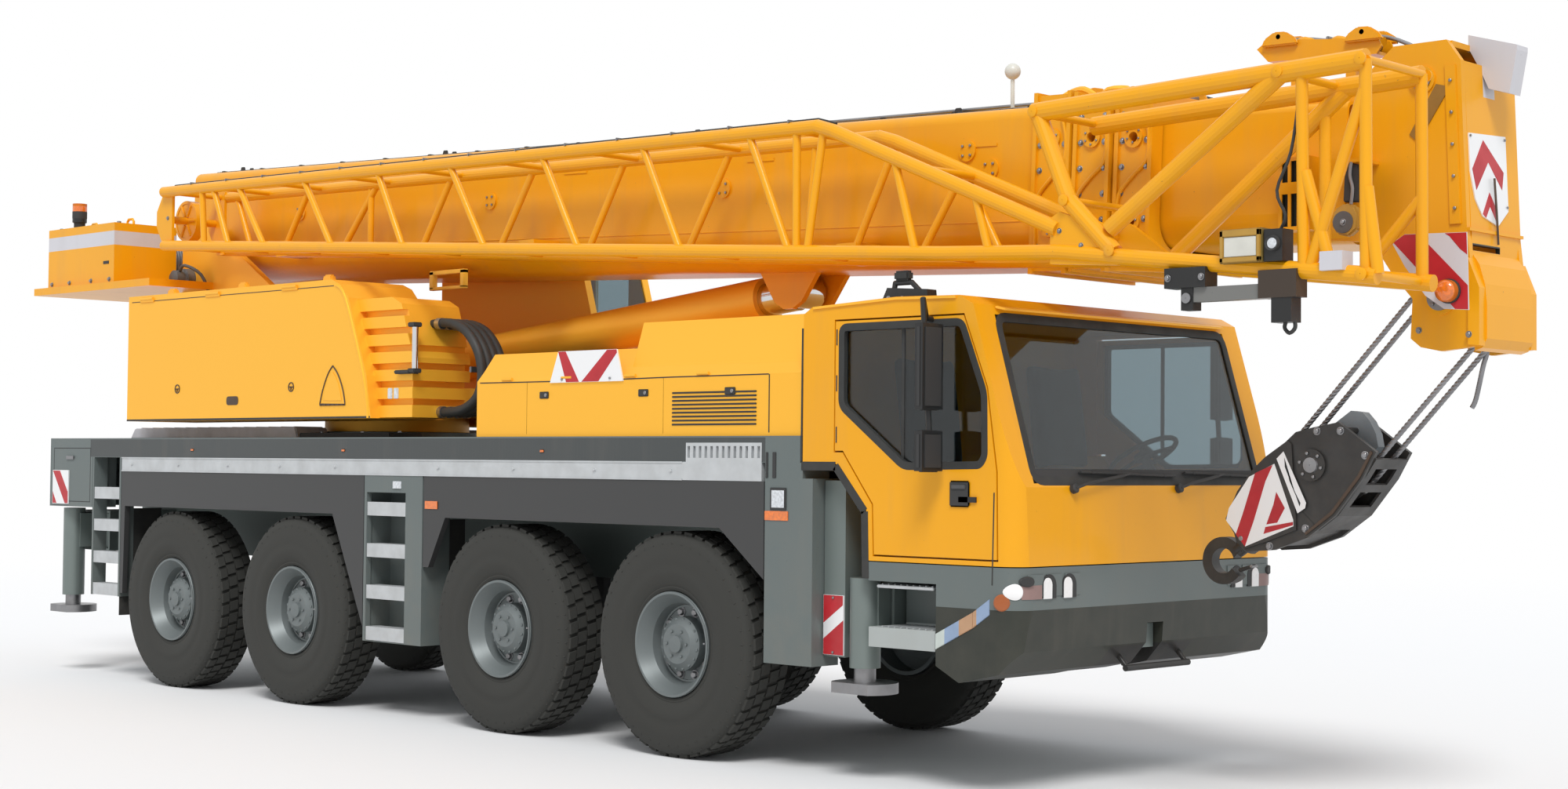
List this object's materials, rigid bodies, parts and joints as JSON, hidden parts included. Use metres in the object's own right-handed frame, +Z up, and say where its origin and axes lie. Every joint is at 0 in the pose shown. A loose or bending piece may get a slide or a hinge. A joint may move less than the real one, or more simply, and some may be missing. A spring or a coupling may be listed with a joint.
{
  "type": "four-axle mobile crane with telescopic boom",
  "caption": "Road-going truck crane: box boom with a laced jib folded alongside, turning upper body, wide driver's cab, steered wheels, slide-out stabilisers and a hook block tied ahead.",
  "frame": {"origin": "middle of the overall length, on the centre plane, on the ground", "axes": "+X forwards towards the driver's cab, +Y to the crane's left, +Z up"},
  "size_m": [13.03, 3, 4.1963],
  "materials": {
    "yellow_paint": "semi-gloss crane paint",
    "grey_paint": "satin paint",
    "dark_paint": "satin dark paint",
    "light_metal": "bare ribbed metal",
    "rim_paint": "satin paint",
    "tyre_rubber": "matt rubber",
    "glass": "tinted",
    "black_plastic": "matt",
    "lamp_lens": "clear lens",
    "sign_white": "reflective white",
    "steel": "worn steel",
    "chrome": "polished rod",
    "cast_grey": "cast",
    "black_paint": "satin black paint"
  },
  "bodies": {
    "carrier": {"chassis_frame": "grey_paint", "axles": "dark_paint", "body_panels": "grey_paint", "fenders": "dark_paint", "steps_and_rails": "light_metal", "engine_cover": "yellow_paint", "cab_shell": "yellow_paint", "cab_base": "grey_paint", "cab_glass": "glass", "cab_fittings": "black_plastic", "lamps": "lamp_lens", "sign_plates": "sign_white"},
    "wheel_1_left": {"rim_1_left": "rim_paint", "tyre_1_left": "tyre_rubber"},
    "knuckle_1_left": {"knuckle_1_left": "dark_paint"},
    "wheel_1_right": {"rim_1_right": "rim_paint", "tyre_1_right": "tyre_rubber"},
    "knuckle_1_right": {"knuckle_1_right": "dark_paint"},
    "wheel_2_left": {"rim_2_left": "rim_paint", "tyre_2_left": "tyre_rubber"},
    "knuckle_2_left": {"knuckle_2_left": "dark_paint"},
    "wheel_2_right": {"rim_2_right": "rim_paint", "tyre_2_right": "tyre_rubber"},
    "knuckle_2_right": {"knuckle_2_right": "dark_paint"},
    "wheel_3_left": {"rim_3_left": "rim_paint", "tyre_3_left": "tyre_rubber"},
    "wheel_3_right": {"rim_3_right": "rim_paint", "tyre_3_right": "tyre_rubber"},
    "wheel_4_left": {"rim_4_left": "rim_paint", "tyre_4_left": "tyre_rubber"},
    "wheel_4_right": {"rim_4_right": "rim_paint", "tyre_4_right": "tyre_rubber"},
    "door_left": {"door_left": "yellow_paint", "door_glass_left": "glass"},
    "door_right": {"door_right": "yellow_paint", "door_glass_right": "glass"},
    "outrigger_beam_front_right": {"outrigger_beam_front_right": "grey_paint"},
    "outrigger_jack_front_right": {"outrigger_jack_front_right": "steel"},
    "outrigger_beam_front_left": {"outrigger_beam_front_left": "grey_paint"},
    "outrigger_jack_front_left": {"outrigger_jack_front_left": "steel"},
    "outrigger_beam_rear_right": {"outrigger_beam_rear_right": "grey_paint"},
    "outrigger_jack_rear_right": {"outrigger_jack_rear_right": "steel"},
    "outrigger_beam_rear_left": {"outrigger_beam_rear_left": "grey_paint"},
    "outrigger_jack_rear_left": {"outrigger_jack_rear_left": "steel"},
    "superstructure": {"slew_frame": "yellow_paint", "upper_hoods": "yellow_paint", "tail_ballast": "yellow_paint", "hoist_winch": "steel", "crew_cab": "yellow_paint", "crew_cab_glass": "glass"},
    "crew_door": {"crew_door": "glass"},
    "boom_base": {"boom_base": "yellow_paint", "lattice_jib": "yellow_paint"},
    "luff_barrel": {"luff_barrel": "yellow_paint"},
    "luff_rod": {"luff_rod": "chrome"},
    "boom_tele_1": {"boom_tele_1": "yellow_paint"},
    "boom_tele_2": {"boom_tele_2": "yellow_paint"},
    "boom_head": {"boom_head": "yellow_paint", "head_sheaves": "cast_grey"},
    "hook_block": {"hook_block": "black_paint"}
  },
  "joints": [
    {"name": "steer_1_left", "type": "hinge", "parent": "carrier", "child": "knuckle_1_left", "pos_m": [1.685, 0.985, 0.685], "axis": [0, 0, 1], "range_deg": [-30, 30]},
    {"name": "roll_1_left", "type": "hinge", "parent": "knuckle_1_left", "child": "wheel_1_left", "pos_m": [1.685, 1.0825, 0.685], "axis": [0, 1, 0], "continuous": true},
    {"name": "steer_1_right", "type": "hinge", "parent": "carrier", "child": "knuckle_1_right", "pos_m": [1.685, -0.985, 0.685], "axis": [0, 0, 1], "range_deg": [-30, 30]},
    {"name": "roll_1_right", "type": "hinge", "parent": "knuckle_1_right", "child": "wheel_1_right", "pos_m": [1.685, -1.0825, 0.685], "axis": [0, 1, 0], "continuous": true},
    {"name": "steer_2_left", "type": "hinge", "parent": "carrier", "child": "knuckle_2_left", "pos_m": [0.035, 0.985, 0.685], "axis": [0, 0, 1], "range_deg": [-30, 30]},
    {"name": "roll_2_left", "type": "hinge", "parent": "knuckle_2_left", "child": "wheel_2_left", "pos_m": [0.035, 1.0825, 0.685], "axis": [0, 1, 0], "continuous": true},
    {"name": "steer_2_right", "type": "hinge", "parent": "carrier", "child": "knuckle_2_right", "pos_m": [0.035, -0.985, 0.685], "axis": [0, 0, 1], "range_deg": [-30, 30]},
    {"name": "roll_2_right", "type": "hinge", "parent": "knuckle_2_right", "child": "wheel_2_right", "pos_m": [0.035, -1.0825, 0.685], "axis": [0, 1, 0], "continuous": true},
    {"name": "roll_3_left", "type": "hinge", "parent": "carrier", "child": "wheel_3_left", "pos_m": [-2.365, 1.0825, 0.685], "axis": [0, 1, 0], "continuous": true},
    {"name": "roll_3_right", "type": "hinge", "parent": "carrier", "child": "wheel_3_right", "pos_m": [-2.365, -1.0825, 0.685], "axis": [0, 1, 0], "continuous": true},
    {"name": "roll_4_left", "type": "hinge", "parent": "carrier", "child": "wheel_4_left", "pos_m": [-4.015, 1.0825, 0.685], "axis": [0, 1, 0], "continuous": true},
    {"name": "roll_4_right", "type": "hinge", "parent": "carrier", "child": "wheel_4_right", "pos_m": [-4.015, -1.0825, 0.685], "axis": [0, 1, 0], "continuous": true},
    {"name": "door_left_hinge", "type": "hinge", "parent": "carrier", "child": "door_left", "pos_m": [3.046, 1.264, 1.9], "axis": [0, 0, 1], "range_deg": [0, 75]},
    {"name": "door_right_hinge", "type": "hinge", "parent": "carrier", "child": "door_right", "pos_m": [3.046, -1.264, 1.9], "axis": [0, 0, -1], "range_deg": [0, 75]},
    {"name": "beam_front_right", "type": "slide", "parent": "carrier", "child": "outrigger_beam_front_right", "axis": [0, -1, 0], "range_m": [0, 1.75]},
    {"name": "jack_front_right", "type": "slide", "parent": "outrigger_beam_front_right", "child": "outrigger_jack_front_right", "axis": [0, 0, -1], "range_m": [0, 0.5]},
    {"name": "beam_front_left", "type": "slide", "parent": "carrier", "child": "outrigger_beam_front_left", "axis": [0, 1, 0], "range_m": [0, 1.75]},
    {"name": "jack_front_left", "type": "slide", "parent": "outrigger_beam_front_left", "child": "outrigger_jack_front_left", "axis": [0, 0, -1], "range_m": [0, 0.5]},
    {"name": "beam_rear_right", "type": "slide", "parent": "carrier", "child": "outrigger_beam_rear_right", "axis": [0, -1, 0], "range_m": [0, 1.75]},
    {"name": "jack_rear_right", "type": "slide", "parent": "outrigger_beam_rear_right", "child": "outrigger_jack_rear_right", "axis": [0, 0, -1], "range_m": [0, 0.5]},
    {"name": "beam_rear_left", "type": "slide", "parent": "carrier", "child": "outrigger_beam_rear_left", "axis": [0, 1, 0], "range_m": [0, 1.75]},
    {"name": "jack_rear_left", "type": "slide", "parent": "outrigger_beam_rear_left", "child": "outrigger_jack_rear_left", "axis": [0, 0, -1], "range_m": [0, 0.5]},
    {"name": "slew", "type": "hinge", "parent": "carrier", "child": "superstructure", "pos_m": [-2.815, 0, 2.002], "axis": [0, 0, 1], "continuous": true},
    {"name": "crew_door_slide", "type": "slide", "parent": "superstructure", "child": "crew_door", "axis": [-1, 0, 0], "range_m": [0, 0.75]},
    {"name": "luff", "type": "hinge", "parent": "superstructure", "child": "boom_base", "pos_m": [-4.815, 0, 3.45], "axis": [0, -1, 0], "range_deg": [0, 86]},
    {"name": "cylinder_tilt", "type": "hinge", "parent": "superstructure", "child": "luff_barrel", "pos_m": [-2.665, 0, 2.48], "axis": [0, -1, 0], "range_deg": [0, 93.83]},
    {"name": "cylinder_stroke", "type": "slide", "parent": "luff_barrel", "child": "luff_rod", "axis": [0.9952, 0, 0.0983], "range_m": [0, 3.146]},
    {"name": "tele_1", "type": "slide", "parent": "boom_base", "child": "boom_tele_1", "axis": [0.9992, 0, -0.0401], "range_m": [0, 6.6]},
    {"name": "tele_2", "type": "slide", "parent": "boom_tele_1", "child": "boom_tele_2", "axis": [0.9992, 0, -0.0401], "range_m": [0, 6.6]},
    {"name": "tele_3", "type": "slide", "parent": "boom_tele_2", "child": "boom_head", "axis": [0.9992, 0, -0.0401], "range_m": [0, 6.6]},
    {"name": "hook_swing", "type": "hinge", "parent": "boom_head", "child": "hook_block", "pos_m": [6.225, 0, 2.64], "axis": [0, 1, 0], "range_deg": [0, 43.41]}
  ],
  "couplings": [
    {"joint": "steer_1_right", "follows": "steer_1_left", "ratio": 1},
    {"joint": "steer_2_left", "follows": "steer_1_left", "ratio": 0.78},
    {"joint": "steer_2_right", "follows": "steer_1_left", "ratio": 0.78},
    {"joint": "cylinder_tilt", "follows": "luff", "ratio": 1.0852},
    {"joint": "cylinder_stroke", "follows": "luff", "m_per_rad": 2.0892},
    {"joint": "tele_2", "follows": "tele_1", "ratio": 1},
    {"joint": "tele_3", "follows": "tele_1", "ratio": 1},
    {"joint": "hook_swing", "follows": "luff", "ratio": 0.4989}
  ]
}
